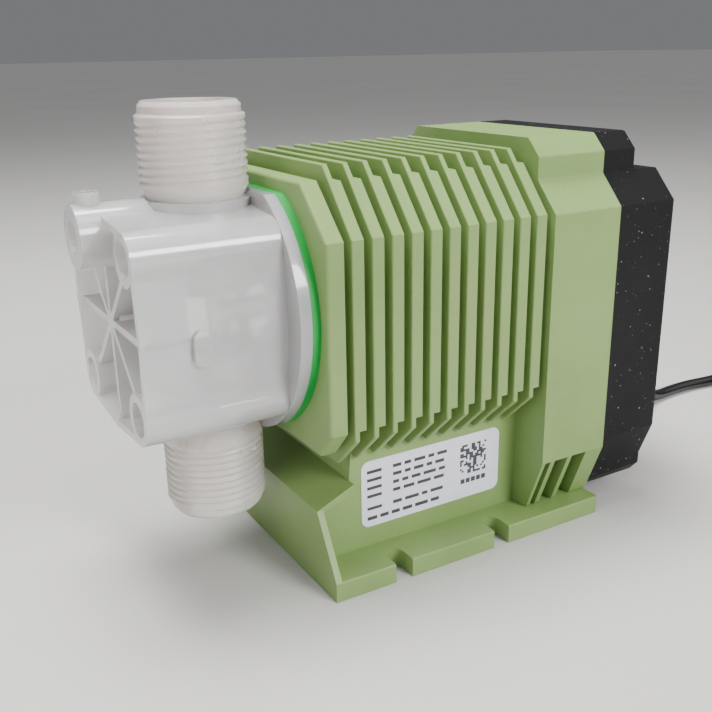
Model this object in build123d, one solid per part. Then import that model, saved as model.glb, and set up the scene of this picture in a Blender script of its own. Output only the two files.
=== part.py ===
from build123d import *
import math
import os

# A solenoid-driven diaphragm dosing pump, in millimetres.
# X runs rearwards from the liquid end to the control cover, Z is up, and Y is across.
# The origin is the centre of the four foot slots, on the underside of the foot.

# ---- driving dimensions -------------------------------------------------------------
FRONT_X = -46.5            # front face of the foot and of the finned housing
AXIS_Z = 90.8              # height of the solenoid, diaphragm and head axis

FOOT_LENGTH = 113.5
FOOT_HALF_WIDTH = 47.4
FOOT_HEIGHT = 6.7
SLOT_RADIUS = 3.3
SLOT_SPACING_X = 41.1
SLOT_SPACING_Y = 82.8

PEDESTAL_HALF_WIDTH = 32.3
PEDESTAL_WALL = 3.0
SHELF_FRONT_Z = 27.3
SHELF_REAR_Z = 33.4
SHELF_DEPTH = 13.9
SHELF_HALF_WIDTH = 35.5

FRONT_PLATE = 5.8          # thickness of the octagonal plate that carries the head
FIN_COUNT = 11
FIN_PITCH = 6.92
FIN_FIRST = 8.45           # front face of the first fin, behind FRONT_X
FIN_THIN = 1.6
FIN_THICK = 4.0
BORE_RADIUS = 33.4         # solenoid bore
BORE_FRONT = 13.0

REAR_START = 84.5          # front face of the rear chamber, behind FRONT_X
REAR_END = 113.8
COVER_END = 140.8
COVER_HUMP_END = 129.3
WALL = 2.8

HEAD_FLANGE_RADIUS = 42.3
HEAD_FLAT_Z = 127.8
HEAD_FRONT = -51.6
HEAD_WALL = 2.2
POCKET_FLOOR = -37.0       # how deep the pockets in the front of the head go
RING_THICK = 2.8
FLANGE_THICK = 3.8
BOSS_Y = 24.5
BOSS_Z = 23.8
BOSS_RADIUS = 8.0
HEAD_SIDE = 34.0           # how far the middle of each side wall stands from the axis
VENT_Z = 117.6
VENT_RADIUS = 9.7
VENT_FRONT = -58.5
NIPPLE_X = -53.4
NIPPLE_TOP_Z = 130.6

PORT_X = -20.0             # port axis, behind FRONT_X
PORT_RADIUS = 16.6         # outside radius of the G1 port threads
PORT_BORE = 10.0
PORT_SPIGOT = 12.8         # part of the port body that plugs into the head
COLLAR_RADIUS = 17.4
COLLAR_TOP_Z = 126.3
COLLAR_LOW_Z = 54.3
PORT_TOP_Z = 154.8
PORT_BOTTOM_Z = 22.0
THREAD_RUNOUT = 3.3        # length of the taper behind each thread
SUCTION_THREAD_TOP_Z = 48.0    # the suction thread ends below the rim of the head's flange
WELL_TOP_Z = 98.5          # floor of the discharge well
WELL_LOW_Z = 82.0          # roof of the suction well

MEMBRANE_RADIUS = 30.4
CORE_RADIUS = 18.2
ROD_RADIUS = 4.0
BUSH_CLEARANCE = 0.04
ARMATURE_RADIUS = 14.6
ARMATURE_FRONT = 44.6
ARMATURE_END = 84.0
BALL_RADIUS = 4.76
SEAT_BORE = 3.6
BALL_GAP = 0.05

KNOB_RADIUS = 17.0
KNOB_FRONT = 141.9
KNOB_END = 156.0
GRIP_FLUTES = 18
PANEL_THICK = 0.6
KEY_PLACES = [(-26.0, 98.3), (26.0, 98.3), (-26.0, 82.3), (26.0, 82.3)]
KEY_RADIUS = 4.3
LAMP_PLACES = [(-26.0, 113.5), (26.0, 113.5)]
SOCKET_PLACES = [(-18.0, 44.0), (18.0, 44.0)]
GLAND_Y = 15.0
GLAND_Z = 22.0
COVER_SCREWS = [(-40.0, 34.0), (40.0, 34.0), (-39.0, 112.0), (39.0, 112.0)]
SCREW_BOSS_RADIUS = 5.0    # wide enough to run into the side walls

CORD_RADIUS = 2.5
COIL_X = 245.5             # centre of the wound part of the lead
COIL_Y = -16.0
COIL_INNER = 20.3
COIL_OUTER = 41.9
COIL_HEIGHT = 10.8
PLUG_Y = -57.0
PLUG_Z = 7.2
PLUG_FACE_X = 174.0        # face of the plug that carries its pins

os.makedirs("parts", exist_ok=True)


# ---- helpers ------------------------------------------------------------------------
def at(distance):
    """X of a plane that lies this far behind the housing's front face."""
    return FRONT_X + distance


def block(x0, x1, y0, y1, z0, z1):
    return Pos((x0 + x1) / 2, (y0 + y1) / 2, (z0 + z1) / 2) * Box(x1 - x0, y1 - y0, z1 - z0)


def rod_x(radius, x0, x1, y=0.0, z=AXIS_Z):
    return Pos((x0 + x1) / 2, y, z) * Rot(0, 90, 0) * Cylinder(radius, x1 - x0)


def rod_z(radius, z0, z1, x=0.0, y=0.0):
    return Pos(x, y, (z0 + z1) / 2) * Cylinder(radius, z1 - z0)


def tube_x(outer, inner, x0, x1, y=0.0, z=AXIS_Z):
    return rod_x(outer, x0, x1, y, z) - rod_x(inner, x0 - 1, x1 + 1, y, z)


def tube_z(outer, inner, z0, z1, x=0.0, y=0.0):
    return rod_z(outer, z0, z1, x, y) - rod_z(inner, z0 - 1, z1 + 1, x, y)


def cone_x(radius0, radius1, x0, x1, y=0.0, z=AXIS_Z):
    """A cone along X, radius0 at x0 and radius1 at x1."""
    return Pos((x0 + x1) / 2, y, z) * Rot(0, 90, 0) * Cone(radius0, radius1, x1 - x0)


def slab_x(outline, x0, x1, inset=0.0):
    """A plate across X whose outline is a list of (y, z) corners, optionally moved in."""
    face = make_face(Polyline(*outline, close=True))
    if inset:
        face = offset(face, -inset, kind=Kind.INTERSECTION)
    return extrude(Plane.YZ.offset(x0) * face, x1 - x0)


def slab_y(outline, half_width):
    """A plate across Y whose outline is a list of (x, z) corners."""
    face = Plane.XZ.offset(-half_width) * make_face(Polyline(*outline, close=True))
    return extrude(face, 2 * half_width)


def both_sides(half):
    """Close a right-hand outline, listed from the bottom up, with its mirror image."""
    return half + [(-y, z) for y, z in reversed(half)]


def pair_y(inner, outer, x0, x1, z0, z1):
    """Two equal blocks, one on each side of the centre plane."""
    return block(x0, x1, inner, outer, z0, z1) + block(x0, x1, -outer, -inner, z0, z1)


def hexagon_x(across_flats, x0, x1, y, z):
    face = Pos(y, z) * RegularPolygon(across_flats / 2, 6, major_radius=False)
    return extrude(Plane.YZ.offset(x0) * face, x1 - x0)


def at_head_screws(make):
    """One solid at each of the head's four screw places, given as make(y, z)."""
    return [make(y, AXIS_Z + z) for y in (-BOSS_Y, BOSS_Y) for z in (-BOSS_Z, BOSS_Z)]


def soften(solid, radius, rule):
    """Round the edges that the rule picks."""
    return fillet([edge for edge in solid.edges() if rule(edge)], radius)


def save(node, *solids):
    shape = solids[0] if len(solids) == 1 else Compound(children=list(solids))
    export_step(shape, f"parts/{node}.step")


# ---- drive housing: foot, pedestal, finned barrel and rear chamber in one moulding ----
FRONT_OCTAGON = [(38.4, 48.0), (46.5, 57.1), (46.5, 116.4), (31.0, 132.1)]
FIN_OCTAGON = [(34.3, 42.0), (46.5, 53.7), (46.5, 116.4), (29.7, 136.4)]
PAD_OUTLINE = [(46.5, 57.0), (46.5, 116.4), (33.6, 131.8)]
CORE_OCTAGON = [(31.0, 45.0), (40.0, 55.5), (40.0, 113.0), (26.5, 129.0)]
REAR_PROFILE = [(39.7, 6.7), (47.4, 27.0), (47.4, 116.1), (37.9, 126.4), (37.9, 133.8), (32.3, 139.6)]
REAR_POCKETS = [(86.0, 88.5), (90.5, 96.6), (98.6, 105.4)]
POCKET_FLOOR_Y = 33.5
POCKET_TOP_Z = 27.0


def make_foot():
    foot = block(at(0), at(FOOT_LENGTH), -FOOT_HALF_WIDTH, FOOT_HALF_WIDTH, 0, FOOT_HEIGHT)
    foot = soften(foot, 1.5, lambda edge: abs(edge.tangent_at(0.5).Z) > 0.9)
    foot = soften(foot, 0.6, lambda edge: edge.center().Z > FOOT_HEIGHT - 0.01)
    for x in (-SLOT_SPACING_X / 2, SLOT_SPACING_X / 2):
        inner = SLOT_SPACING_Y / 2
        foot -= rod_z(SLOT_RADIUS, -1, FOOT_HEIGHT + 1, x, inner)
        foot -= rod_z(SLOT_RADIUS, -1, FOOT_HEIGHT + 1, x, -inner)
        foot -= pair_y(inner, FOOT_HALF_WIDTH + 2, x - SLOT_RADIUS, x + SLOT_RADIUS, -1, FOOT_HEIGHT + 1)
    return foot


def make_pedestal():
    side_view = [(at(0), 0), (at(0), SHELF_FRONT_Z), (at(SHELF_DEPTH), SHELF_REAR_Z),
                 (at(SHELF_DEPTH + 1), 48), (at(REAR_START + 2), 48), (at(REAR_START + 2), 0)]
    shelf = [(at(0), SHELF_FRONT_Z - 2.4), (at(0), SHELF_FRONT_Z),
             (at(SHELF_DEPTH), SHELF_REAR_Z), (at(SHELF_DEPTH), SHELF_REAR_Z - 2.4)]
    gusset = [(FOOT_HALF_WIDTH, 0), (FOOT_HALF_WIDTH, FOOT_HEIGHT), (SHELF_HALF_WIDTH, SHELF_FRONT_Z)]
    body = slab_y(side_view, PEDESTAL_HALF_WIDTH)
    return body + slab_y(shelf, SHELF_HALF_WIDTH) + slab_x(both_sides(gusset), at(0), at(2.2))


def make_rear_chamber():
    chamber = slab_x(both_sides(REAR_PROFILE), at(REAR_START), at(REAR_END))
    chamber = soften(chamber, 1.2, lambda edge: abs(edge.tangent_at(0.5).X) > 0.9)
    hollow = slab_x(both_sides(REAR_PROFILE), at(REAR_START + WALL), at(REAR_END) + 1, inset=WALL)
    hollow -= pair_y(POCKET_FLOOR_Y - PEDESTAL_WALL, 60, at(REAR_START), at(REAR_POCKETS[-1][1] + 2), 0, 30)
    chamber -= hollow
    for start, end in REAR_POCKETS:
        chamber -= pair_y(POCKET_FLOOR_Y, 60, at(start), at(end), FOOT_HEIGHT, POCKET_TOP_Z)
    return chamber


def make_fin(start):
    thin = slab_x(both_sides(FIN_OCTAGON), start, start + FIN_THIN)
    thin = soften(thin, 0.5, lambda edge: abs(edge.center().X - start) < 0.01)
    return thin + slab_x(both_sides(PAD_OUTLINE), start + FIN_THIN, start + FIN_THICK)


def gasket_ring():
    outer = slab_x(both_sides(REAR_PROFILE), at(REAR_END - 1.0), at(REAR_END), inset=0.8)
    return outer - slab_x(both_sides(REAR_PROFILE), at(REAR_END - 2.0), at(REAR_END + 1), inset=1.8)


def make_drive_housing():
    plate = slab_x(both_sides(FRONT_OCTAGON), at(0), at(FRONT_PLATE))
    plate = soften(plate, 1.1, lambda edge: abs(edge.center().X - at(0)) < 0.01)
    core = slab_x(both_sides(CORE_OCTAGON), at(FRONT_PLATE) - 1, at(REAR_START) + 1)
    housing = make_foot() + make_pedestal() + core + plate + make_rear_chamber()
    for number in range(FIN_COUNT):
        housing += make_fin(at(FIN_FIRST + number * FIN_PITCH))
    inside = PEDESTAL_HALF_WIDTH - PEDESTAL_WALL
    for start, end in ((3.0, 27.0), (30.0, 55.0), (58.0, REAR_START - 1)):
        roof = SHELF_FRONT_Z - 4 if start < 5 else 40.0
        housing -= block(at(start), at(end), -inside, inside, -1, roof)
    housing -= rod_x(BORE_RADIUS, at(BORE_FRONT), at(REAR_START + WALL) + 0.5)
    housing -= rod_x(10.0, at(-1), at(BORE_FRONT) + 1)
    housing -= rod_x(MEMBRANE_RADIUS + 0.6, at(-1), at(4.0))
    for hole in at_head_screws(lambda y, z: rod_x(2.6, at(-1), at(11.5), y, z)):
        housing -= hole
    envelope = slab_x(both_sides(REAR_PROFILE), at(REAR_START), at(REAR_END))
    for y, z in COVER_SCREWS:
        housing += rod_x(SCREW_BOSS_RADIUS, at(REAR_START + 1), at(REAR_END), y, z) & envelope
        housing -= rod_x(1.8, at(REAR_END - 14), at(REAR_END) + 1, y, z)
    return housing - gasket_ring()


save("drive_housing", make_drive_housing())
save("cover_gasket", gasket_ring())

# ---- rear cover and its screws --------------------------------------------------------
COVER_PROFILE = [(38.7, 8.0), (42.0, 11.8), (42.0, 15.9), (47.4, 29.9), (47.4, 116.1), (37.9, 126.4)]
COVER_HUMP = [(37.9, 110.0), (37.9, 133.8), (32.3, 139.6)]
STANDOFFS_CONTROL = [(-29.0, 66.0), (29.0, 66.0), (-29.0, 118.0), (29.0, 118.0)]
STANDOFFS_DRIVER = [(-30.0, 18.0), (30.0, 18.0), (-30.0, 50.0), (30.0, 50.0)]
CONTROL_BOARD_X = 130.5
DRIVER_BOARD_X = 119.0
BOARD_THICK = 1.6
WINDOW_HALF = 18.0
WINDOW_LOW_Z = 109.8
WINDOW_HIGH_Z = 119.2


def make_rear_cover():
    start, end, hump_end = at(REAR_END), at(COVER_END), at(COVER_HUMP_END)
    cover = slab_x(both_sides(COVER_PROFILE), start, end)
    cover = soften(cover, 2.0, lambda edge: edge.center().X > end - 0.01)
    hump = slab_x(both_sides(COVER_HUMP), start, hump_end)
    hump = soften(hump, 1.6, lambda edge: edge.center().X > hump_end - 0.01 and edge.center().Z > 121)
    hollow = slab_x(both_sides(COVER_PROFILE), start - 1, end - WALL, inset=WALL)
    hollow += slab_x(both_sides(COVER_HUMP), start - 1, hump_end - WALL, inset=WALL)
    cover = cover + hump - hollow
    envelope = slab_x(both_sides(COVER_PROFILE), start, end - 1)
    for y, z in COVER_SCREWS:
        cover += rod_x(SCREW_BOSS_RADIUS, start, end - 1, y, z) & envelope
        cover -= rod_x(1.9, start - 1, end + 1, y, z)
        cover -= rod_x(3.7, end - 8.0, end + 1, y, z)
    for y, z in STANDOFFS_CONTROL:
        cover += rod_x(2.5, at(CONTROL_BOARD_X + BOARD_THICK), end - 1, y, z)
    for y, z in STANDOFFS_DRIVER:
        cover += rod_x(3.0, at(DRIVER_BOARD_X + BOARD_THICK), end - 1, y, z)
    cover -= rod_x(7.35, end - 6, end + 1)
    cover -= rod_x(8.0, end - 6, end + 1, GLAND_Y, GLAND_Z)
    cover -= block(end - 6, end + 1, -WINDOW_HALF, WINDOW_HALF, WINDOW_LOW_Z, WINDOW_HIGH_Z)
    for y, z in KEY_PLACES:
        cover -= rod_x(KEY_RADIUS + 0.35, end - 6, end + 1, y, z)
    for y, z in LAMP_PLACES:
        cover -= rod_x(1.6, end - 6, end + 1, y, z)
    for y, z in SOCKET_PLACES:
        cover -= rod_x(6.1, end - 6, end + 1, y, z)
    return cover


def cover_screw(y, z):
    head_seat = at(COVER_END - 8.0)
    screw = rod_x(1.7, at(REAR_END - 12), head_seat, y, z)
    screw += rod_x(3.2, head_seat, head_seat + 2.4, y, z)
    screw -= block(head_seat + 1.2, head_seat + 3, y - 2.4, y + 2.4, z - 0.4, z + 0.4)
    return screw - block(head_seat + 1.2, head_seat + 3, y - 0.4, y + 0.4, z - 2.4, z + 2.4)


save("rear_cover", make_rear_cover())
save("cover_screws", *[cover_screw(y, z) for y, z in COVER_SCREWS])

# ---- rating label on the pedestal -----------------------------------------------------
label = block(at(18.4), at(76.5), -PEDESTAL_HALF_WIDTH - 0.3, -PEDESTAL_HALF_WIDTH, 14.1, 38.5)
save("rating_label", soften(label, 3.0, lambda edge: abs(edge.tangent_at(0.5).Y) > 0.9))

# ---- diaphragm, its ring and its backing plate ----------------------------------------
RING_FRONT = -RING_THICK
FLANGE_FRONT = RING_FRONT - FLANGE_THICK


def flatted_disc(radius, x0, x1):
    """A disc with the flat top that the head and its ring share."""
    return rod_x(radius, x0, x1) - block(x0 - 1, x1 + 1, -60, 60, HEAD_FLAT_Z, HEAD_FLAT_Z + 60)


ring = flatted_disc(HEAD_FLANGE_RADIUS, at(RING_FRONT), at(0)) - rod_x(MEMBRANE_RADIUS + 0.5, at(-9), at(9))
for hole in at_head_screws(lambda y, z: rod_x(2.9, at(-9), at(9), y, z)):
    ring -= hole
save("diaphragm_ring", ring)

backing = rod_x(MEMBRANE_RADIUS + 0.4, at(-0.4), at(4.0)) - rod_x(8.6, at(-9), at(9))
backing -= rod_x(CORE_RADIUS + 2.0, at(-9), at(0.8))
save("backing_plate", backing)

membrane = tube_x(MEMBRANE_RADIUS, CORE_RADIUS + 0.3, at(RING_FRONT), at(-0.4))
membrane -= tube_x(26.0, 20.5, at(RING_FRONT - 1), at(RING_FRONT + 0.9))
save("diaphragm_membrane", membrane)

core = rod_x(CORE_RADIUS, at(-3.4), at(-0.4)) + rod_x(8.0, at(-0.4), at(9.0))
core = soften(core, 1.2, lambda edge: edge.center().X < at(-3.3))
core -= rod_x(ROD_RADIUS + 0.03, at(2.0), at(10))
save("diaphragm_core", core)

# ---- dosing head ----------------------------------------------------------------------
HEAD_OUTLINE = [(24.5, -31.8), (32.4, -24.4), (HEAD_SIDE, 0), (32.4, 24.4), (24.5, 31.8)]


def head_outline(x0, x1, inset=0.0):
    right = [(y, AXIS_Z + z) for y, z in HEAD_OUTLINE]
    left = [(-y, z) for y, z in reversed(right)]
    outline = [(0, AXIS_Z - HEAD_SIDE)] + right + [(0, AXIS_Z + HEAD_SIDE)] + left
    return slab_x(outline, x0, x1, inset)


def make_head_ribs():
    """Eight ribs from the hub to the walls and bosses, across the open front."""
    ribs = rod_x(5.2, at(HEAD_FRONT + 3), at(POCKET_FLOOR + 1))
    for angle in (0, 90, 43.8, -43.8):
        rib = Pos(at((HEAD_FRONT + POCKET_FLOOR) / 2 + 1), 0, AXIS_Z) * Rot(angle, 0, 0)
        ribs += rib * Box(POCKET_FLOOR - HEAD_FRONT - 1, 66, HEAD_WALL)
    return ribs & head_outline(at(HEAD_FRONT), at(POCKET_FLOOR) + 2)


def make_dosing_head():
    head = flatted_disc(HEAD_FLANGE_RADIUS, at(FLANGE_FRONT), at(RING_FRONT))
    body = head_outline(at(HEAD_FRONT), at(FLANGE_FRONT) + 1)
    body -= head_outline(at(HEAD_FRONT) - 1, at(POCKET_FLOOR), inset=HEAD_WALL)
    head += body + make_head_ribs()
    for boss in at_head_screws(lambda y, z: rod_x(BOSS_RADIUS, at(HEAD_FRONT), at(FLANGE_FRONT), y, z)):
        head += boss
    head += rod_x(VENT_RADIUS, at(VENT_FRONT), at(PORT_X), z=VENT_Z)
    head += rod_z(COLLAR_RADIUS, COLLAR_LOW_Z, COLLAR_TOP_Z, at(PORT_X)) & block(
        at(HEAD_FRONT), at(RING_FRONT), -40, 40, COLLAR_LOW_Z, COLLAR_TOP_Z)
    head += rod_z(3.85, VENT_Z, NIPPLE_TOP_Z, at(NIPPLE_X))
    moulded_drop = SlotCenterToCenter(5.6, 5.2)
    head += extrude(Plane.XZ.offset(HEAD_SIDE - 1.5) * Pos(at(-34), 88.8) * Rot(0, 0, 90) * moulded_drop, 3.0)
    # Vent bore with its nipple, screw holes, valve wells and the passages between them.
    head -= rod_x(5.0, at(VENT_FRONT) - 1, at(-42), z=VENT_Z)
    head -= rod_x(2.1, at(-43), at(PORT_X), z=VENT_Z)
    head -= rod_z(1.6, VENT_Z, NIPPLE_TOP_Z + 1, at(NIPPLE_X))
    for hole in at_head_screws(lambda y, z: rod_x(2.8, at(HEAD_FRONT) - 1, at(0), y, z)):
        head -= hole
    for hole in at_head_screws(lambda y, z: rod_x(5.4, at(HEAD_FRONT) - 1, at(-22), y, z)):
        head -= hole
    for low, high in ((COLLAR_TOP_Z, COLLAR_TOP_Z + 9), (COLLAR_LOW_Z - 19, COLLAR_LOW_Z)):
        head -= rod_z(PORT_RADIUS + 0.3, low, high, at(PORT_X))
    head -= rod_z(PORT_SPIGOT + 0.1, WELL_TOP_Z, COLLAR_TOP_Z + 1, at(PORT_X))
    head -= rod_z(PORT_SPIGOT + 0.1, COLLAR_LOW_Z - 1, WELL_LOW_Z, at(PORT_X))
    head -= rod_z(3.5, WELL_LOW_Z - 1, WELL_TOP_Z + 1, at(PORT_X))
    head -= rod_x(3.5, at(PORT_X), at(RING_FRONT))
    return head - cone_x(12.0, 27.0, at(FLANGE_FRONT) - 0.2, at(RING_FRONT) + 0.01)


save("dosing_head", make_dosing_head())


def head_screw(y, z):
    """A socket screw with its captive washer."""
    screw = rod_x(2.5, at(-22), at(11), y, z) + rod_x(4.25, at(-28), at(-23), y, z)
    screw += rod_x(5.0, at(-23), at(-22), y, z)
    return screw - hexagon_x(4.0, at(-29), at(-25.5), y, z)


save("head_screws", *at_head_screws(head_screw))

# ---- discharge and suction ports with their ball valves --------------------------------
# The discharge port is drawn upright; the suction port hangs below the head.
PILOT_RADIUS = 15.4        # plain lead-in beyond the thread
PILOT_LENGTH = 3.4
CARTRIDGE_BORE = 11.0
CARTRIDGE_LENGTH = 16.9


def port_body(free_end, thread_start, seat, spigot_end):
    """A port turned from its half section, from its free end to the spigot inside the head."""
    out = 1 if free_end > seat else -1
    half = [(PORT_BORE, free_end), (PILOT_RADIUS - 1.1, free_end), (PILOT_RADIUS, free_end - out * 1.4),
            (PILOT_RADIUS, free_end - out * PILOT_LENGTH), (PORT_RADIUS, free_end - out * (PILOT_LENGTH + 0.8)),
            (PORT_RADIUS, thread_start), (PORT_RADIUS - 1.9, thread_start - out * THREAD_RUNOUT),
            (PORT_RADIUS - 1.9, seat), (PORT_SPIGOT, seat),
            (PORT_SPIGOT, spigot_end), (CARTRIDGE_BORE, spigot_end),
            (CARTRIDGE_BORE, spigot_end + out * CARTRIDGE_LENGTH), (PORT_BORE, spigot_end + out * CARTRIDGE_LENGTH)]
    return turned_z(half, at(PORT_X))


def turned_z(half_section, x):
    """Turn a (radius, z) half section about a vertical axis at x."""
    face = Plane.XZ * make_face(Polyline(*half_section, close=True))
    return Pos(x, 0, 0) * revolve(face, Axis.Z)


def make_seat(low):
    seat = rod_z(CARTRIDGE_BORE - 0.1, low, low + 4, at(PORT_X)) - rod_z(SEAT_BORE, low - 1, low + 5, at(PORT_X))
    return seat - Pos(at(PORT_X), 0, low + 3.6) * Cone(SEAT_BORE, SEAT_BORE + 0.8, 0.8)


def make_ball(low):
    lift_off = math.sqrt(BALL_RADIUS**2 - SEAT_BORE**2)
    return Pos(at(PORT_X), 0, low + 3.2 + lift_off + BALL_GAP) * Sphere(BALL_RADIUS)


def make_cage(low):
    cage = tube_z(CARTRIDGE_BORE - 0.1, BALL_RADIUS + 0.35, low + 4, low + 15.4, at(PORT_X))
    for angle in (0, 60, 120):
        slot = Rot(0, 0, angle) * Box(2 * CARTRIDGE_BORE, 3.4, 7.6)
        cage -= (Pos(at(PORT_X), 0, low + 9.0) * slot) & tube_z(9.4, 1, low, low + 20, at(PORT_X))
    stop = block(at(PORT_X) - 6.5, at(PORT_X) + 6.5, -1.2, 1.2, low + 13.4, low + 15.4)
    return cage + stop


SEAL_THICK = 2.5
DISCHARGE_LOW = WELL_TOP_Z + SEAL_THICK
SUCTION_LOW = WELL_LOW_Z - SEAL_THICK - CARTRIDGE_LENGTH
save("discharge_valve_body", port_body(PORT_TOP_Z, COLLAR_TOP_Z + THREAD_RUNOUT + 0.1,
                                       COLLAR_TOP_Z, WELL_TOP_Z + SEAL_THICK))
save("suction_valve_body", port_body(PORT_BOTTOM_Z, SUCTION_THREAD_TOP_Z,
                                     COLLAR_LOW_Z, WELL_LOW_Z - SEAL_THICK))
save("valve_seals", tube_z(12.4, 9.2, WELL_TOP_Z, WELL_TOP_Z + SEAL_THICK, at(PORT_X)),
     tube_z(12.4, 9.2, WELL_LOW_Z - SEAL_THICK, WELL_LOW_Z, at(PORT_X)))
save("valve_seats", make_seat(DISCHARGE_LOW), make_seat(SUCTION_LOW))
save("valve_cages", make_cage(DISCHARGE_LOW), make_cage(SUCTION_LOW))
save("discharge_ball", make_ball(DISCHARGE_LOW))
save("suction_ball", make_ball(SUCTION_LOW))

# ---- bleed screw ----------------------------------------------------------------------
bleed = rod_x(4.92, at(-55.5), at(-51.2), z=VENT_Z) + rod_x(3.0, at(-51.2), at(-46), z=VENT_Z)
bleed += rod_x(4.92, at(-46), at(-42.6), z=VENT_Z) + cone_x(1.9, 1.2, at(-42.6), at(-40), z=VENT_Z)
bleed -= block(at(-56), at(-53.7), -6, 6, VENT_Z - 0.7, VENT_Z + 0.7)
save("bleed_screw", bleed)

# ---- solenoid --------------------------------------------------------------------------
save("front_bush", tube_x(9.97, ROD_RADIUS + BUSH_CLEARANCE, at(9.6), at(13.0)))
yoke = tube_x(BORE_RADIUS - 0.2, 29.2, at(13), at(78)) + tube_x(BORE_RADIUS - 0.2, 13.0, at(13), at(19))
save("solenoid_yoke", yoke)
pole = tube_x(12.95, 4.7, at(13), at(19)) + tube_x(14.9, 4.7, at(19), at(42)) - rod_x(9.5, at(34), at(43))
save("pole_piece", pole)
bobbin = tube_x(16.6, 15.1, at(19), at(72)) + tube_x(28.9, 15.1, at(19), at(21)) + tube_x(28.9, 15.1, at(70), at(72))
save("bobbin", bobbin)
save("coil_winding", tube_x(27.4, 16.65, at(21), at(70)))
save("yoke_plate", tube_x(29.1, 16.6, at(72), at(78)))
save("rear_bush", tube_x(16.55, ARMATURE_RADIUS + BUSH_CLEARANCE, at(72), at(78)))
save("stop_bumper", tube_x(14.0, 10.2, at(42), at(43)))
armature = rod_x(ARMATURE_RADIUS, at(ARMATURE_FRONT), at(ARMATURE_END)) - rod_x(9.5, at(ARMATURE_FRONT - 1), at(50))
armature = armature - rod_x(ROD_RADIUS + 0.03, at(49), at(60))
save("armature", armature)
save("push_rod", rod_x(ROD_RADIUS, at(2.2), at(59.8)))
save("stroke_bridge", tube_x(BORE_RADIUS - 0.2, 30.0, at(78), at(96)) + tube_x(31, 9.05, at(92), at(96)))
save("spindle_nut", tube_x(9.0, 5.06, at(90), at(98)) + tube_x(11.5, 5.06, at(96), at(98)))

SPRING_START, SPRING_END, SPRING_TURNS, SPRING_MEAN, SPRING_WIRE = 34.9, 49.1, 5, 7.4, 0.8
spring_path = Helix((SPRING_END - SPRING_START) / SPRING_TURNS, SPRING_END - SPRING_START, SPRING_MEAN)
wire = Plane(origin=spring_path @ 0, z_dir=spring_path % 0) * Circle(SPRING_WIRE)
save("return_spring", Pos(at(SPRING_START), 0, AXIS_Z) * Rot(0, 90, 0) * sweep(wire, path=spring_path))

# ---- stroke adjuster --------------------------------------------------------------------
spindle = rod_x(5.0, at(ARMATURE_END + 1.6), at(112)) + rod_x(3.5, at(112), at(147))
save("stroke_spindle", spindle)


def make_knob():
    knob = rod_x(KNOB_RADIUS, at(KNOB_FRONT), at(KNOB_END)) + rod_x(7.0, at(133), at(KNOB_FRONT))
    knob = soften(knob, 1.4, lambda edge: edge.center().X > at(KNOB_END) - 0.01)
    for number in range(GRIP_FLUTES):
        angle = math.radians(360 / GRIP_FLUTES * number)
        y, z = (KNOB_RADIUS + 0.9) * math.sin(angle), AXIS_Z + (KNOB_RADIUS + 0.9) * math.cos(angle)
        knob -= rod_x(1.7, at(KNOB_FRONT + 3.2), at(KNOB_END) + 1, y, z)
    knob -= block(at(KNOB_END - 0.8), at(KNOB_END) + 1, -0.7, 0.7, AXIS_Z + 4, AXIS_Z + KNOB_RADIUS - 3)
    return knob - rod_x(3.6, at(132), at(151))


save("stroke_knob", make_knob())
save("knob_clip", tube_x(9.6, 7.02, at(136.2), at(137.4)))

# ---- control panel, keys, window and boards ---------------------------------------------
panel_half, panel_low, panel_high = 33.0, 64.0, 123.0
panel = block(at(COVER_END), at(COVER_END) + PANEL_THICK, -panel_half, panel_half, panel_low, panel_high)
panel = soften(panel, 4.0, lambda edge: abs(edge.tangent_at(0.5).X) > 0.9)
panel -= rod_x(8.5, at(130), at(160))
panel -= block(at(130), at(160), -WINDOW_HALF, WINDOW_HALF, WINDOW_LOW_Z, WINDOW_HIGH_Z)
for place in KEY_PLACES:
    panel -= rod_x(KEY_RADIUS + 0.6, at(130), at(160), *place)
for place in LAMP_PLACES:
    panel -= rod_x(1.6, at(130), at(160), *place)
save("control_panel", panel)

window = block(at(COVER_END - 2.6), at(COVER_END) + PANEL_THICK, -WINDOW_HALF, WINDOW_HALF,
               WINDOW_LOW_Z, WINDOW_HIGH_Z)
save("display_window", window)
save("status_lamps", *[rod_x(1.5, at(133.5), at(COVER_END) + 1.2, y, z) for y, z in LAMP_PLACES])

for number, (y, z) in enumerate(KEY_PLACES, start=1):
    key = rod_x(KEY_RADIUS, at(136.7), at(142.5), y, z)
    key = soften(key, 0.7, lambda edge: edge.center().X > at(142.4))
    save(f"key_{number}", key + rod_x(5.6, at(136.7), at(137.9), y, z))

control_rear = CONTROL_BOARD_X + BOARD_THICK
board = block(at(CONTROL_BOARD_X), at(control_rear), -33, 33, 62, 122) - rod_x(10.5, at(120), at(140))
for y, z in KEY_PLACES:
    board += block(at(control_rear), at(135.3), y - 3, y + 3, z - 3, z + 3)
    board += rod_x(1.6, at(135.3), at(135.8), y, z)
save("control_board", board)
save("display_module", block(at(control_rear), at(137.6), -17, 17, 109, 120))

driver_front = at(DRIVER_BOARD_X)
save("driver_board", block(driver_front, at(DRIVER_BOARD_X + BOARD_THICK), -34, 34, 14, 54))
transformer = block(driver_front - 18, driver_front, -27, -5, 19, 43)
transformer += block(driver_front - 15, driver_front - 3, -29, -3, 22, 40)
save("supply_transformer", transformer)
save("supply_capacitors", rod_x(7.5, driver_front - 20, driver_front, 6, 42),
     rod_x(7.5, driver_front - 20, driver_front, 23, 42))
terminals = block(driver_front - 12, driver_front, 0, 28, 17, 27)
for number in range(5):
    terminals -= rod_x(1.7, driver_front - 13, driver_front - 8, 3.5 + 5.25 * number, 22)
save("terminal_block", terminals)

# ---- signal sockets and their caps --------------------------------------------------------
cover_face = at(COVER_END)


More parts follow.
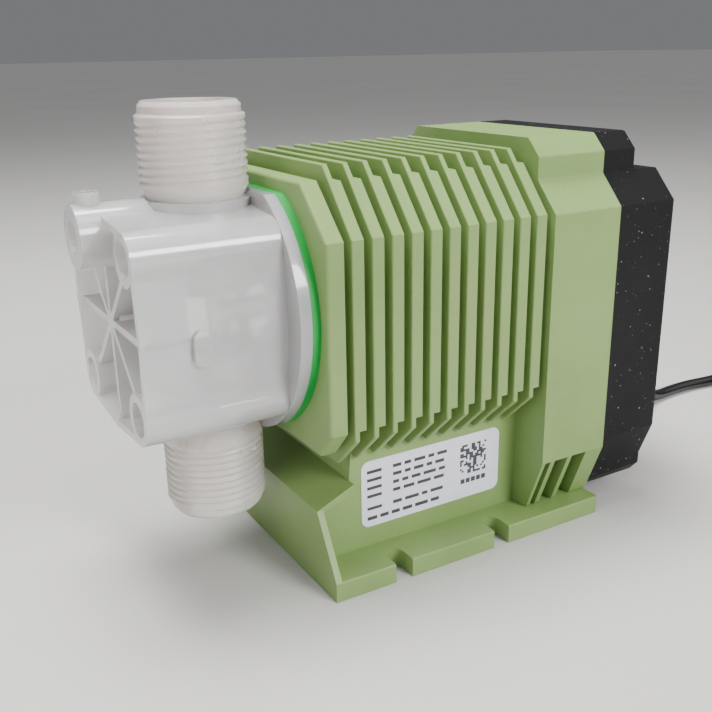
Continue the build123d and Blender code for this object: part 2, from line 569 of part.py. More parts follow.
def make_socket(y, z):
    socket = rod_x(6.0, at(128), cover_face + 5.0, y, z) + rod_x(8.0, cover_face, cover_face + 2.0, y, z)
    return socket - rod_x(4.6, cover_face - 1, cover_face + 6, y, z)


def make_cap(y, z):
    cap = rod_x(8.2, cover_face + 2.0, cover_face + 9.5, y, z) - rod_x(6.1, cover_face, cover_face + 5.2, y, z)
    for number in range(12):
        angle = math.radians(30 * number)
        cap -= rod_x(0.8, cover_face, cover_face + 12, y + 8.5 * math.sin(angle), z + 8.5 * math.cos(angle))
    return cap


save("signal_sockets", *[make_socket(y, z) for y, z in SOCKET_PLACES])
save("socket_caps", *[make_cap(y, z) for y, z in SOCKET_PLACES])

# ---- cable gland, mains lead and plug -------------------------------------------------------
GLAND_NUT_END = 155.0
RELIEF_END = 176.0
gland = hexagon_x(19.0, cover_face, cover_face + 4.0, GLAND_Y, GLAND_Z)
gland += rod_x(7.8, at(132), cover_face + 9.0, GLAND_Y, GLAND_Z)
save("gland_body", gland - rod_x(4.0, at(130), at(160), GLAND_Y, GLAND_Z))
save("gland_locknut", hexagon_x(20.0, at(134.4), at(COVER_END - WALL), GLAND_Y, GLAND_Z)
     - rod_x(7.85, at(130), at(140), GLAND_Y, GLAND_Z))
nut = hexagon_x(18.0, cover_face + 4.0, at(GLAND_NUT_END) - 3, GLAND_Y, GLAND_Z)
nut += cone_x(8.8, 6.6, at(GLAND_NUT_END) - 3, at(GLAND_NUT_END), GLAND_Y, GLAND_Z)
nut -= rod_x(7.85, cover_face, cover_face + 9.2, GLAND_Y, GLAND_Z)
save("gland_nut", nut - rod_x(4.0, at(130), at(160), GLAND_Y, GLAND_Z))
relief = rod_x(3.9, at(134), at(GLAND_NUT_END), GLAND_Y, GLAND_Z)
relief += cone_x(5.6, 3.4, at(GLAND_NUT_END), at(RELIEF_END), GLAND_Y, GLAND_Z)
save("strain_relief", relief)

LEAD_ROUTE = [(at(RELIEF_END), GLAND_Y, GLAND_Z), (142.0, GLAND_Y, GLAND_Z), (153.3, 16.2, 17.0), (161.6, 17.7, 7.8),
              (172.9, 19.8, 2.6), (185.5, 21.5, 2.6), (198.5, 21.7, 2.6), (211.5, 19.9, 2.6),
              (224.0, 20.1, 2.6), (235.5, 22.4, 2.6), (246.0, 23.1, 2.6)]
TAIL_ROUTE = [(245.0, -55.2, 8.0), (236.0, -55.8, 7.8), (227.0, PLUG_Y, PLUG_Z), (216.0, PLUG_Y, PLUG_Z)]


def cord_tube(name, route):
    points = [Vector(*point) for point in route]
    radii = []
    for before, corner, after in zip(points, points[1:], points[2:]):
        turn = math.radians((corner - before).get_angle(after - corner))
        shorter = min((corner - before).length, (after - corner).length)
        radii.append(0.45 * shorter / math.tan(turn / 2))
    path = FilletPolyline(*points, radius=radii)
    tube = sweep(Plane(origin=path @ 0, z_dir=path % 0) * Circle(CORD_RADIUS), path=path)
    expected = math.pi * CORD_RADIUS**2 * path.length
    print(f"{name}: radii {[round(radius, 1) for radius in radii]}, length {path.length:.1f},"
          f" volume ratio {tube.volume / expected:.4f}")
    return tube


save("power_cord", cord_tube("power_cord", LEAD_ROUTE))
save("cord_tail", cord_tube("cord_tail", TAIL_ROUTE))

TIE_WIDTH, TIE_THICK = 8.0, 0.4
tie_outer = block(COIL_X - COIL_OUTER - 0.7, COIL_X - COIL_INNER + 1.4, COIL_Y - TIE_WIDTH / 2,
                  COIL_Y + TIE_WIDTH / 2, 0, COIL_HEIGHT + 0.2 + TIE_THICK)
tie_inner = block(COIL_X - COIL_OUTER - 0.7 + TIE_THICK, COIL_X - COIL_INNER + 1.4 - TIE_THICK,
                  COIL_Y - TIE_WIDTH, COIL_Y + TIE_WIDTH, TIE_THICK, COIL_HEIGHT + 0.2)
save("cord_tie", tie_outer - tie_inner)
save("cord_coil", tube_z(COIL_OUTER, COIL_INNER, 0.05, COIL_HEIGHT, COIL_X, COIL_Y) - (tie_outer - tie_inner))

plug_end = PLUG_FACE_X + 36.0
plug_body = [(PLUG_FACE_X, -17.5), (PLUG_FACE_X, 17.5), (PLUG_FACE_X + 20, 15.0), (plug_end, 6.5),
             (plug_end, -6.5), (PLUG_FACE_X + 20, -15.0)]
plug = extrude(Plane.XY.offset(0.2) * Pos(0, PLUG_Y) * make_face(Polyline(*plug_body, close=True)), 14.0)
plug = soften(plug, 2.5, lambda edge: edge.center().X > PLUG_FACE_X + 1)
plug += cone_x(5.2, 3.3, plug_end - 1, 216.0, PLUG_Y, PLUG_Z)
save("plug", plug)
save("plug_pins", *[rod_x(2.0, PLUG_FACE_X - 19, PLUG_FACE_X, PLUG_Y + y, PLUG_Z) for y in (-9.3, 9.3)])
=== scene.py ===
import bpy
import math
import random
from mathutils import Matrix, Vector


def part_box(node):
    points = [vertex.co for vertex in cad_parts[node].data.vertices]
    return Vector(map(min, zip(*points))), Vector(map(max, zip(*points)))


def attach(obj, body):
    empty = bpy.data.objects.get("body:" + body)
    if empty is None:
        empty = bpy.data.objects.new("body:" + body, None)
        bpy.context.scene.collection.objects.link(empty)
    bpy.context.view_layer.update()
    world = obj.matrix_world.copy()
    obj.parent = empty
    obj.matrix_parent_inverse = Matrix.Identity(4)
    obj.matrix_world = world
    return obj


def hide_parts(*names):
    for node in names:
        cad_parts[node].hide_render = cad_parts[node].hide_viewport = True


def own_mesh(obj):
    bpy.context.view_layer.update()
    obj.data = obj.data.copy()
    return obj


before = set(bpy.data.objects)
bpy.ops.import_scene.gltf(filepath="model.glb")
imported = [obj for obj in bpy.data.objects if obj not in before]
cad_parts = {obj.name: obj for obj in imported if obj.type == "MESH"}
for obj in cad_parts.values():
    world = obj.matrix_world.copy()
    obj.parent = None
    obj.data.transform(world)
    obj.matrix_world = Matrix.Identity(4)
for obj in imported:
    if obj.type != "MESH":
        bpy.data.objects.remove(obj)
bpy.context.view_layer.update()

# The viewpoint: a camera a little above the pump, off the liquid end's left-hand side, level but for
# a slight tilt.
view_from = Vector((-0.1645, -0.2656, 0.1682))
view_yaw, view_pitch, view_roll = math.radians(-30.13), math.radians(71.17), math.radians(-1.03)
camera_data = bpy.data.cameras.new("camera")
camera_data.lens = 45.53
camera_data.sensor_width = 36.0
camera_data.clip_start = 0.01
camera = bpy.data.objects.new("camera", camera_data)
bpy.context.scene.collection.objects.link(camera)
camera.matrix_world = (Matrix.Translation(view_from) @ Matrix.Rotation(view_yaw, 4, "Z")
                       @ Matrix.Rotation(view_pitch, 4, "X") @ Matrix.Rotation(view_roll, 4, "Z"))
bpy.context.scene.camera = camera

# The mains lead: round black flexible PVC lead, 5 mm thick. It drops from the cable gland to the table,
# runs off behind the pump and is wound into a neat flat coil of two layers that ends in its plug.
lead_route = [(0.1295, 0.0150, 0.0220), (0.1420, 0.0150, 0.0220), (0.1533, 0.0162, 0.0170),
              (0.1616, 0.0177, 0.0078), (0.1729, 0.0198, 0.0026), (0.1855, 0.0215, 0.0026),
              (0.1985, 0.0217, 0.0026), (0.2115, 0.0199, 0.0026), (0.2240, 0.0201, 0.0026),
              (0.2355, 0.0224, 0.0026), (0.2460, 0.0231, 0.0027)]
tail_route = [(0.2360, -0.0558, 0.0078), (0.2270, -0.0570, 0.0072), (0.2160, -0.0570, 0.0072)]
coil_centre = Vector((0.2455, -0.0160))
outer_turn, inner_turn = 0.0393, 0.0229
low_layer, layer_rise = 0.00295, 0.0052
inward_steps = (280, 640, 1000)         # degrees wound when each lower turn steps inwards
outward_steps = (1420, 1780, 2140)      # the same for the upper turns, stepping outwards
step_sweep, climb_start, climb_sweep = 60, 1260, 100
last_angle, point_spacing = 2340, 20
lead_radius = 0.0025


def eased(amount):
    amount = min(max(amount, 0.0), 1.0)
    return amount * amount * (3 - 2 * amount)


def coil_point(wound):
    pitch = (outer_turn - inner_turn) / 3
    inwards = sum(eased((wound - start) / step_sweep) for start in inward_steps)
    outwards = sum(eased((wound - start) / step_sweep) for start in outward_steps)
    radius = outer_turn - pitch * (inwards - outwards)
    angle = math.radians(90 - wound)
    height = low_layer + layer_rise * eased((wound - climb_start) / climb_sweep)
    return (coil_centre.x + radius * math.cos(angle), coil_centre.y + radius * math.sin(angle), height)


coil_angles = range(point_spacing, last_angle + 1, point_spacing)
lead_points = lead_route + [coil_point(wound) for wound in coil_angles] + tail_route
lead_curve = bpy.data.curves.new("mains_lead", "CURVE")
lead_curve.dimensions = "3D"
lead_curve.bevel_depth = 1.0         # times each point's radius
lead_curve.bevel_resolution = 5
lead_spline = lead_curve.splines.new("NURBS")
lead_spline.points.add(len(lead_points) - 1)
for place, point in zip(lead_spline.points, lead_points):
    place.co = (*point, 1.0)
    place.radius = lead_radius
lead_spline.order_u = 3
lead_spline.use_endpoint_u = True
lead_spline.resolution_u = 6
mains_lead = bpy.data.objects.new("mains_lead", lead_curve)
bpy.context.scene.collection.objects.link(mains_lead)
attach(mains_lead, "housing")
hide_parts("power_cord", "cord_coil", "cord_tail")

# Shared finishes: a moulded surface whose tone and roughness drift slightly over a fine grain, and scattered
# specks of dust. Each material sets its own values on them.


def tint(red, green, blue):
    """A display colour, 0 to 255, as the linear colour that the shader takes."""
    def linear(value):
        value /= 255
        return value / 12.92 if value <= 0.04045 else ((value + 0.055) / 1.055) ** 2.4
    return (linear(red), linear(green), linear(blue), 1.0)


def new_group(name, inputs, outputs):
    """An empty shader group with float or colour sockets, its entry and its exit."""
    group = bpy.data.node_groups.new(name, "ShaderNodeTree")
    for socket, value in inputs:
        kind = "NodeSocketColor" if isinstance(value, tuple) else "NodeSocketFloat"
        group.interface.new_socket(socket, in_out="INPUT", socket_type=kind).default_value = value
    for socket, kind in outputs:
        group.interface.new_socket(socket, in_out="OUTPUT", socket_type=kind)
    return group, group.nodes.new("NodeGroupInput"), group.nodes.new("NodeGroupOutput")


def noise_in(group, entry, scale_socket, detail, roughness):
    """Noise in the piece's own space, whose scale is one of the group's inputs."""
    noise = group.nodes.new("ShaderNodeTexNoise")
    place = group.nodes.new("ShaderNodeTexCoord")
    noise.inputs["Detail"].default_value = detail
    noise.inputs["Roughness"].default_value = roughness
    group.links.new(place.outputs["Object"], noise.inputs["Vector"])
    group.links.new(entry.outputs[scale_socket], noise.inputs["Scale"])
    return noise


def mapped(group, source, low, high, to_low, to_high):
    """The source's span from low to high, stretched to the span from to_low to to_high."""
    ramp = group.nodes.new("ShaderNodeMapRange")
    for socket, value in zip(("From Min", "From Max", "To Min", "To Max"), (low, high, to_low, to_high)):
        ramp.inputs[socket].default_value = value
    group.links.new(source, ramp.inputs["Value"])
    return ramp.outputs["Result"]


surface_group, entry, leave = new_group(
    "moulded_surface",
    [("Colour", (0.5, 0.5, 0.5, 1.0)), ("Shade", (0.4, 0.4, 0.4, 1.0)), ("Grain Scale", 1500.0),
     ("Drift Scale", 18.0), ("Roughness", 0.5), ("Roughness Drift", 0.1)],
    [("Colour", "NodeSocketColor"), ("Roughness", "NodeSocketFloat"), ("Height", "NodeSocketFloat")])
noise_roughness, colour_span, roughness_span = 0.6, (0.35, 0.68), (0.3, 0.7)
drift = noise_in(surface_group, entry, "Drift Scale", 4.0, noise_roughness)
grain = noise_in(surface_group, entry, "Grain Scale", 3.0, noise_roughness)
blend_colour = surface_group.nodes.new("ShaderNodeMix")
blend_colour.data_type = "RGBA"
amount = mapped(surface_group, drift.outputs["Fac"], *colour_span, 0.0, 1.0)
surface_group.links.new(amount, blend_colour.inputs["Factor"])
surface_group.links.new(entry.outputs["Colour"], blend_colour.inputs["A"])
surface_group.links.new(entry.outputs["Shade"], blend_colour.inputs["B"])
vary = surface_group.nodes.new("ShaderNodeMath")
vary.operation = "MULTIPLY_ADD"
centred = mapped(surface_group, drift.outputs["Fac"], *roughness_span, -1.0, 1.0)
surface_group.links.new(centred, vary.inputs[0])
surface_group.links.new(entry.outputs["Roughness Drift"], vary.inputs[1])
surface_group.links.new(entry.outputs["Roughness"], vary.inputs[2])
surface_group.links.new(blend_colour.outputs["Result"], leave.inputs["Colour"])
surface_group.links.new(vary.outputs[0], leave.inputs["Roughness"])
surface_group.links.new(grain.outputs["Fac"], leave.inputs["Height"])

dust_group, entry, leave = new_group(
    "dust",
    [("Colour", (0.5, 0.5, 0.5, 1.0)), ("Dust Colour", (0.7, 0.7, 0.68, 1.0)), ("Scale", 900.0),
     ("Amount", 0.5), ("Threshold", 0.68)],
    [("Colour", "NodeSocketColor")])
speck = noise_in(dust_group, entry, "Scale", 2.0, 0.5)
over = dust_group.nodes.new("ShaderNodeMath")
over.operation = "SUBTRACT"
dust_group.links.new(speck.outputs["Fac"], over.inputs[0])
dust_group.links.new(entry.outputs["Threshold"], over.inputs[1])
speck_edge = 0.03
sharp = mapped(dust_group, over.outputs[0], 0.0, speck_edge, 0.0, 1.0)
lie = dust_group.nodes.new("ShaderNodeMath")
lie.operation = "MULTIPLY"
dust_group.links.new(sharp, lie.inputs[0])
dust_group.links.new(entry.outputs["Amount"], lie.inputs[1])
settle = dust_group.nodes.new("ShaderNodeMix")
settle.data_type = "RGBA"
dust_group.links.new(lie.outputs[0], settle.inputs["Factor"])
dust_group.links.new(entry.outputs["Colour"], settle.inputs["A"])
dust_group.links.new(entry.outputs["Dust Colour"], settle.inputs["B"])
dust_group.links.new(settle.outputs["Result"], leave.inputs["Colour"])


def finish(name, colour, shade, rough=0.5, grain_scale=1500.0, bump=0.1, bump_depth=0.0001, drift_scale=18.0,
           rough_drift=0.08, dust=0.0, dust_threshold=0.7, stretch=None, **fixed):
    """A material made of the shared surface and dust groups. stretch, where given, draws the grain out into
    turned or brushed lines. fixed sets the shader's own sockets."""
    material = bpy.data.materials.new(name)
    material.use_nodes = True
    nodes, links = material.node_tree.nodes, material.node_tree.links
    shader = nodes["Principled BSDF"]
    surface = nodes.new("ShaderNodeGroup")
    surface.node_tree = surface_group
    surface.inputs["Colour"].default_value = colour
    surface.inputs["Shade"].default_value = shade
    surface.inputs["Grain Scale"].default_value = grain_scale
    surface.inputs["Drift Scale"].default_value = drift_scale
    surface.inputs["Roughness"].default_value = rough
    surface.inputs["Roughness Drift"].default_value = rough_drift
    shown = surface.outputs["Colour"]
    if dust:
        film = nodes.new("ShaderNodeGroup")
        film.node_tree = dust_group
        film.inputs["Amount"].default_value = dust
        film.inputs["Threshold"].default_value = dust_threshold
        links.new(shown, film.inputs["Colour"])
        shown = film.outputs["Colour"]
    links.new(shown, shader.inputs["Base Color"])
    links.new(surface.outputs["Roughness"], shader.inputs["Roughness"])
    relief = nodes.new("ShaderNodeBump")
    relief.inputs["Strength"].default_value = bump
    relief.inputs["Distance"].default_value = bump_depth
    height = surface.outputs["Height"]
    if stretch:
        place = nodes.new("ShaderNodeTexCoord")
        pull = nodes.new("ShaderNodeMapping")
        lines = nodes.new("ShaderNodeTexNoise")
        pull.inputs["Scale"].default_value = stretch
        lines.inputs["Scale"].default_value = 1.0     # the mapping sets the scale
        lines.inputs["Detail"].default_value = 2.0
        links.new(place.outputs["Object"], pull.inputs["Vector"])
        links.new(pull.outputs["Vector"], lines.inputs["Vector"])
        height = lines.outputs["Fac"]
    links.new(height, relief.inputs["Height"])
    links.new(relief.outputs["Normal"], shader.inputs["Normal"])
    for socket, value in fixed.items():
        shader.inputs[socket.replace("_", " ")].default_value = value
    return material


def wear(material, *names):
    """Give CAD nodes, or pieces made here, their finish."""
    for name in names:
        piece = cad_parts.get(name) or bpy.data.objects[name]
        piece.data.materials.clear()
        piece.data.materials.append(material)


# The drive housing: one moulding in pale sage green plastic, foot, fins and rear chamber together. Its faces
# have a fine mould texture, its tone drifts slightly, and a few specks of dust lie on it.
sage_moulding = finish("sage_moulding", tint(131, 158, 93), tint(119, 147, 83), rough=0.46, grain_scale=2600.0,
                       bump=0.22, bump_depth=0.00008, dust=0.25, dust_threshold=0.74)
wear(sage_moulding, "drive_housing")

# The rear cover and its gasket: black moulding with a coarse spark texture, closed on a cord of soft rubber.
# White dust has caught in the texture. Four cross-head screws in deep wells hold it.
black_moulding = finish("black_moulding", tint(18, 18, 19), tint(12, 12, 13), rough=0.5, grain_scale=1700.0,
                        bump=0.55, bump_depth=0.00016, dust=0.35, dust_threshold=0.715,
                        Specular_IOR_Level=0.2)
wear(black_moulding, "rear_cover")
soft_rubber = finish("soft_rubber", tint(30, 30, 31), tint(40, 40, 41), rough=0.75, grain_scale=2200.0,
                     bump=0.15)
wear(soft_rubber, "cover_gasket", "diaphragm_membrane", "valve_seals", "stop_bumper", "strain_relief")
bright_steel = finish("bright_steel", tint(196, 198, 200), tint(176, 178, 181), rough=0.26, bump=0.12,
                      bump_depth=0.00004, stretch=(300.0, 5200.0, 5200.0), Metallic=1.0)
wear(bright_steel, "cover_screws", "head_screws", "return_spring", "knob_clip")

# The rating label: a white film with rounded corners on the pedestal's side. Its printing is plain bars and
# a block of squares, which stand for lines of small type and a code.
label_film = finish("label_film", tint(232, 231, 240), tint(224, 223, 234), rough=0.32, grain_scale=900.0,
                    bump=0.04, drift_scale=60.0)
wear(label_film, "rating_label")
label_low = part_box("rating_label")[0]
print_proud = 0.00003
marks = random.Random(7)
strips = []


def strip(left, right, bottom, top):
    strips.append((label_low.x + left, label_low.x + right, label_low.z + bottom, label_low.z + top))


row_heights = (0.0198, 0.0168, 0.0138, 0.0108, 0.0062)
left_margin, heading, heading_tall = 0.0022, 0.0058, 0.0011
words_start, last_word_start, words_end, word_tall, word_gap = 0.0125, 0.034, 0.0365, 0.0012, 0.0013
for row in row_heights:
    strip(left_margin, left_margin + heading, row, row + heading_tall)
    along = words_start
    while along < last_word_start:
        word = marks.uniform(0.0022, 0.0058)
        strip(along, min(along + word, words_end), row, row + word_tall)
        along += word + word_gap
foot_bottom, foot_top, last_foot_start, foot_gap = 0.0024, 0.0037, 0.030, 0.0012
along = left_margin
while along < last_foot_start:
    word = marks.uniform(0.003, 0.006)
    strip(along, along + word, foot_bottom, foot_top)
    along += word + foot_gap
square, squares, block_left, block_bottom = 0.00082, 14, 0.0408, 0.0092
for column in range(squares):
    for line in range(squares):
        if marks.random() < 0.5:
            left, bottom = block_left + column * square, block_bottom + line * square
            strip(left, left + square, bottom, bottom + square)
dash_count, dash_step, dash_left, dash_right, dash_bottom, dash_top = 5, 0.0023, 0.0412, 0.0430, 0.0056, 0.0074
for column in range(dash_count):
    strip(dash_left + column * dash_step, dash_right + column * dash_step, dash_bottom, dash_top)
print_mesh = bpy.data.meshes.new("label_print")
corners, faces = [], []
front = label_low.y - print_proud
for left, right, bottom, top in strips:
    first = len(corners)
    corners += [(left, front, bottom), (right, front, bottom), (right, front, top), (left, front, top)]
    corners += [(x, label_low.y, z) for x, _, z in corners[first:first + 4]]
    faces += [tuple(first + corner for corner in face) for face in
              ((0, 1, 2, 3), (7, 6, 5, 4), (4, 5, 1, 0), (5, 6, 2, 1), (6, 7, 3, 2), (7, 4, 0, 3))]
print_mesh.from_pydata(corners, [], faces)
label_print = bpy.data.objects.new("label_print", print_mesh)
bpy.context.scene.collection.objects.link(label_print)
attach(label_print, "housing")
wear(finish("print_ink", tint(46, 46, 58), tint(62, 62, 74), rough=0.45, grain_scale=4000.0), "label_print")

# The diaphragm ring: a flat vivid green sealing ring, clamped between the head and the housing.
# Behind it sit the white backing plate, the rubber diaphragm and its moulded core.
wear(finish("green_seal", tint(0, 160, 64), tint(0, 145, 55), rough=0.38, grain_scale=1200.0, bump=0.08),
     "diaphragm_ring")
waxy_white = finish("waxy_white", tint(232, 231, 225), tint(220, 218, 211), rough=0.4, bump=0.05,
                    Subsurface_Weight=0.15, Subsurface_Scale=0.002)
wear(waxy_white, "backing_plate", "diaphragm_core", "valve_seats")

# The dosing head: milky translucent polypropylene, open at the front with ribs and four screw bosses.
# Light passes into its thin walls, and its outside is glossy with a faint flow pattern.
milky_head = finish("milky_head", tint(250, 249, 248), tint(243, 242, 242), rough=0.2, grain_scale=90.0,
                    bump=0.10, bump_depth=0.0003, drift_scale=30.0, rough_drift=0.06,
                    Subsurface_Weight=0.3, Subsurface_Scale=0.006, Transmission_Weight=0.6, IOR=1.45,
                    Coat_Weight=0.7, Coat_Roughness=0.05)
wear(milky_head, "dosing_head", "valve_cages")

# The valve ports: the same plastic, a little warmer, each turned with a right-hand pipe thread and a plain
# lead-in. They plug into the head and hold the ball valves' cages.
port_x = (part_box("discharge_valve_body")[0].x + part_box("discharge_valve_body")[1].x) / 2
thread_pitch, thread_depth, thread_crest = 0.002309, 0.0007, 0.0166
around, rows_per_pitch = 128, 12
port_bore, cartridge_bore, cartridge_length = 0.010, 0.011, 0.0169
pilot, pilot_length, shoulder, spigot, runout = 0.0154, 0.0034, 0.0147, 0.0128, 0.0033
thread_relief, lead_in_length, lead_in_depth = 0.0008, 0.0014, 0.0011
smooth_below = math.radians(38)


def port_piece(name, node, free_end, thread_start, seat, spigot_end):
    """One port, turned about its vertical axis. The heights run from its free end to the end in the head."""
    out = 1 if free_end > seat else -1
    thread_end = free_end - out * (pilot_length + thread_relief)
    turned = [(cartridge_bore, spigot_end + out * cartridge_length), (cartridge_bore, spigot_end),
              (spigot, spigot_end), (spigot, seat), (shoulder, seat), (shoulder, thread_start - out * runout)]
    count = int(abs(thread_end - thread_start) / thread_pitch * rows_per_pitch)
    for row in range(count + 1):
        turned.append((thread_crest, thread_start + (thread_end - thread_start) * row / count))
    turned += [(pilot, free_end - out * pilot_length), (pilot, free_end - out * lead_in_length),
               (pilot - lead_in_depth, free_end), (port_bore, free_end),
               (port_bore, spigot_end + out * cartridge_length)]
    points, quads = [], []
    for radius, height in turned:
        for step in range(around):
            angle = 2 * math.pi * step / around
            reach = radius
            if radius == thread_crest:
                from_end = min(abs(height - thread_start), abs(height - thread_end)) / thread_pitch
                phase = height / thread_pitch - step / around
                groove = 0.5 - 0.5 * math.cos(2 * math.pi * phase)
                reach -= thread_depth * groove * eased(from_end)
            points.append((port_x + reach * math.cos(angle), reach * math.sin(angle), height))
    for row in range(len(turned)):
        for step in range(around):
            after, beyond = (row + 1) % len(turned), (step + 1) % around
            quad = (row * around + step, row * around + beyond,
                    after * around + beyond, after * around + step)
            quads.append(quad if out > 0 else quad[::-1])
    mesh = bpy.data.meshes.new(name)
    mesh.from_pydata(points, [], quads)
    mesh.shade_smooth()
    mesh.set_sharp_from_angle(angle=smooth_below)
    piece = bpy.data.objects.new(name, mesh)
    bpy.context.scene.collection.objects.link(piece)
    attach(piece, "housing")
    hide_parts(node)
    return piece


port_piece("discharge_port", "discharge_valve_body", 0.1548, 0.1297, 0.1263, 0.1010)
port_piece("suction_port", "suction_valve_body", 0.0220, 0.0480, 0.0543, 0.0795)
port_plastic = finish("port_plastic", tint(252, 245, 240), tint(245, 237, 231), rough=0.26, grain_scale=300.0,
                      bump=0.06, bump_depth=0.0002, Subsurface_Weight=0.35, Subsurface_Scale=0.006,
                      Transmission_Weight=0.5, IOR=1.42, Coat_Weight=0.3, Coat_Roughness=0.1)
wear(port_plastic, "discharge_port", "suction_port", "bleed_screw")
wear(finish("ceramic", tint(238, 236, 228), tint(230, 227, 218), rough=0.08, bump=0.02), "discharge_ball",
     "suction_ball")

# The solenoid: turned steel yoke, pole, plate and armature, with a black bobbin wound in enamelled copper.
# The armature runs in two bronze bushes and pulls in against a steel coil spring, which is given a mesh of
# its own.
turned_steel = finish("turned_steel", tint(168, 170, 172), tint(148, 150, 153), rough=0.32, bump=0.2,
                      bump_depth=0.00004, stretch=(4200.0, 120.0, 120.0), Metallic=1.0)
wear(turned_steel, "solenoid_yoke", "pole_piece", "yoke_plate", "armature", "push_rod", "stroke_bridge",
     "stroke_spindle")
wear(finish("bronze", tint(186, 146, 88), tint(170, 128, 74), rough=0.34, bump=0.15, bump_depth=0.00004,
            stretch=(3800.0, 140.0, 140.0), Metallic=1.0), "front_bush", "rear_bush", "spindle_nut")
wear(finish("bobbin_plastic", tint(38, 38, 41), tint(46, 46, 49), rough=0.45, bump=0.08), "bobbin")
wear(finish("enamelled_copper", tint(176, 92, 48), tint(150, 72, 36), rough=0.28, bump=0.9, bump_depth=0.0003,
            stretch=(2600.0, 30.0, 30.0), Metallic=0.85), "coil_winding")
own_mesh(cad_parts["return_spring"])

# The control face: a grey printed film with a tinted window, four soft keys, two lamps and a ribbed knob.
# Ticks round the knob mark its travel, and each key has a plain raised sign.
panel_film = finish("panel_film", tint(166, 171, 174), tint(158, 163, 167), rough=0.42, grain_scale=2400.0,
                    bump=0.12, dust=0.2, dust_threshold=0.74)
wear(panel_film, "control_panel")
wear(finish("tinted_window", tint(38, 46, 48), tint(30, 38, 40), rough=0.08, bump=0.01,
            Transmission_Weight=0.5, IOR=1.49), "display_window")
wear(finish("lamp_red", tint(196, 44, 34), tint(170, 32, 26), rough=0.15, bump=0.02, Transmission_Weight=0.3),
     "status_lamps")
key_caps = finish("key_caps", tint(214, 216, 216), tint(204, 206, 207), rough=0.45, grain_scale=2000.0,
                  bump=0.1)
wear(key_caps, "key_1", "key_2", "key_3", "key_4")
dark_fittings = finish("dark_fittings", tint(42, 42, 44), tint(34, 34, 36), rough=0.4, grain_scale=2000.0,
                       bump=0.2, dust=0.3, dust_threshold=0.73)
wear(dark_fittings, "stroke_knob", "socket_caps", "gland_body", "gland_locknut", "gland_nut")


def flat_marks(name, body, outlines, front_x, thick=0.00005):
    """Thin printed or raised signs on a face that looks along +X, from outlines of (y, z) corners."""
    points, sides = [], []
    for outline in outlines:
        first, count = len(points), len(outline)
        points += [(front_x + thick, y, z) for y, z in outline] + [(front_x, y, z) for y, z in outline]
        sides.append(tuple(range(first, first + count)))
        sides.append(tuple(range(first + 2 * count - 1, first + count - 1, -1)))
        for corner in range(count):
            after = (corner + 1) % count
            sides.append((first + corner, first + count + corner, first + count + after, first + after))
    mesh = bpy.data.meshes.new(name)
    mesh.from_pydata(points, [], sides)
    piece = bpy.data.objects.new(name, mesh)
    bpy.context.scene.collection.objects.link(piece)
    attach(piece, body)
    return piece


knob_height, tick_count, first_tick, travel = 0.0908, 11, math.radians(225), math.radians(270)
tick_start, tick_end, long_tick_end, tick_half = 0.0192, 0.0218, 0.0235, 0.0003
ticks = []
for number in range(tick_count):
    angle = first_tick - travel * number / (tick_count - 1)
    reach = long_tick_end if number % 5 == 0 else tick_end
    ray = Vector((math.cos(angle), math.sin(angle)))
    across = Vector((-math.sin(angle), math.cos(angle))) * tick_half
    centre = Vector((0.0, knob_height))
    near, far = centre + ray * tick_start, centre + ray * reach
    ticks.append([tuple(near - across), tuple(far - across), tuple(far + across), tuple(near + across)])
panel_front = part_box("control_panel")[1].x
flat_marks("knob_scale", "housing", ticks, panel_front)
ink = bpy.data.materials["print_ink"]
wear(ink, "knob_scale")
signs = {"key_1": [[(-0.0016, -0.0012), (0.0016, -0.0012), (0.0, 0.0016)]],
         "key_2": [[(-0.0016, 0.0012), (0.0, -0.0016), (0.0016, 0.0012)]],
         "key_3": [[(-0.0015, -0.0015), (0.0015, -0.0015), (0.0015, 0.0015), (-0.0015, 0.0015)]],
         "key_4": [[(-0.0014, -0.0015), (-0.0004, -0.0015), (-0.0004, 0.0015), (-0.0014, 0.0015)],
                   [(0.0004, -0.0015), (0.0014, -0.0015), (0.0014, 0.0015), (0.0004, 0.0015)]]}
for key, outlines in signs.items():
    low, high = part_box(key)
    middle = (low + high) / 2
    placed = [[(middle.y + y, middle.z + z) for y, z in outline] for outline in outlines]
    flat_marks(key + "_sign", key, placed, high.x)
    wear(ink, key + "_sign")

# The boards inside the cover: green solder mask, a moulded transformer, sleeved capacitors and a green
# terminal block. The nickel signal sockets stand through the cover behind black caps.
wear(finish("solder_mask", tint(22, 84, 48), tint(18, 72, 40), rough=0.3, grain_scale=700.0, bump=0.2),
     "control_board", "driver_board")
wear(finish("moulded_black", tint(36, 36, 38), tint(44, 44, 46), rough=0.4, bump=0.12), "display_module",
     "supply_transformer")
wear(finish("blue_sleeve", tint(30, 52, 110), tint(26, 44, 96), rough=0.25, bump=0.05), "supply_capacitors")
wear(finish("terminal_green", tint(40, 128, 62), tint(34, 114, 54), rough=0.4, bump=0.1), "terminal_block")
nickel = finish("nickel", tint(206, 202, 192), tint(190, 186, 176), rough=0.22, bump=0.05, Metallic=1.0)
wear(nickel, "signal_sockets", "plug_pins")

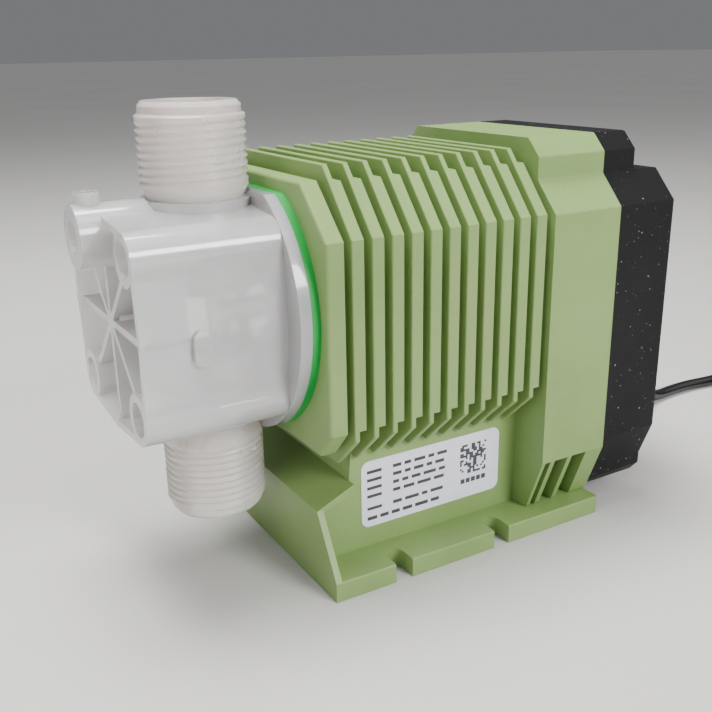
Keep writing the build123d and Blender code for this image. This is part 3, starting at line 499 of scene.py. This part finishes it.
# The lead's sheath, its tie and its plug: glossy black PVC, and a matt strap round the coil.
sheath = finish("sheath", tint(18, 18, 19), tint(24, 24, 25), rough=0.22, grain_scale=900.0, bump=0.06,
                dust=0.12, dust_threshold=0.76)
mains_lead.data.materials.append(sheath)
wear(sheath, "plug")
wear(finish("strap", tint(40, 40, 42), tint(48, 48, 50), rough=0.7, grain_scale=3000.0, bump=0.4), "cord_tie")

# The table and the light: a plain pale floor, a broad soft light from above, a window on the control end's
# side, a weak fill from the liquid end and an even pale surround.
floor_mesh = bpy.data.meshes.new("floor")
floor_reach, floor_drop = 20.0, 0.0002
floor_corners = [(-floor_reach, -floor_reach, 0), (floor_reach, -floor_reach, 0),
                 (floor_reach, floor_reach, 0), (-floor_reach, floor_reach, 0)]
floor_mesh.from_pydata(floor_corners, [], [(0, 1, 2, 3)])
floor = bpy.data.objects.new("floor", floor_mesh)
bpy.context.scene.collection.objects.link(floor)
floor.location.z = -floor_drop
floor_mesh.materials.append(finish("floor_paper", tint(202, 200, 197), tint(196, 194, 191), rough=0.7,
                                   grain_scale=600.0, bump=0.03, drift_scale=3.0))
world = bpy.data.worlds.new("surround")
bpy.context.scene.world = world
world.use_nodes = True
background = world.node_tree.nodes["Background"]
background.inputs["Color"].default_value = (0.86, 0.88, 0.92, 1.0)
background.inputs["Strength"].default_value = 0.22


def soft_light(name, place, target, size, power):
    """A square soft light at place, turned to face target."""
    data = bpy.data.lights.new(name, "AREA")
    data.shape, data.size, data.energy = "SQUARE", size, power
    lamp = bpy.data.objects.new(name, data)
    bpy.context.scene.collection.objects.link(lamp)
    lamp.location = place
    lamp.rotation_euler = (Vector(target) - Vector(place)).to_track_quat("-Z", "Y").to_euler()


soft_light("overhead", (-0.10, 0.15, 0.95), (0.0, 0.0, 0.08), 0.45, 17.0)
soft_light("window", (0.30, -0.95, 0.60), (0.02, 0.0, 0.08), 0.35, 11.0)
soft_light("fill", (-0.75, -0.35, 0.40), (-0.05, 0.0, 0.08), 0.5, 2.0)

daylight = bpy.data.lights.new("daylight", "SUN")
daylight.energy, daylight.angle = 1.0, math.radians(70)
sky_lamp = bpy.data.objects.new("daylight", daylight)
bpy.context.scene.collection.objects.link(sky_lamp)
sky_lamp.rotation_euler = (math.radians(35), math.radians(30), 0.0)
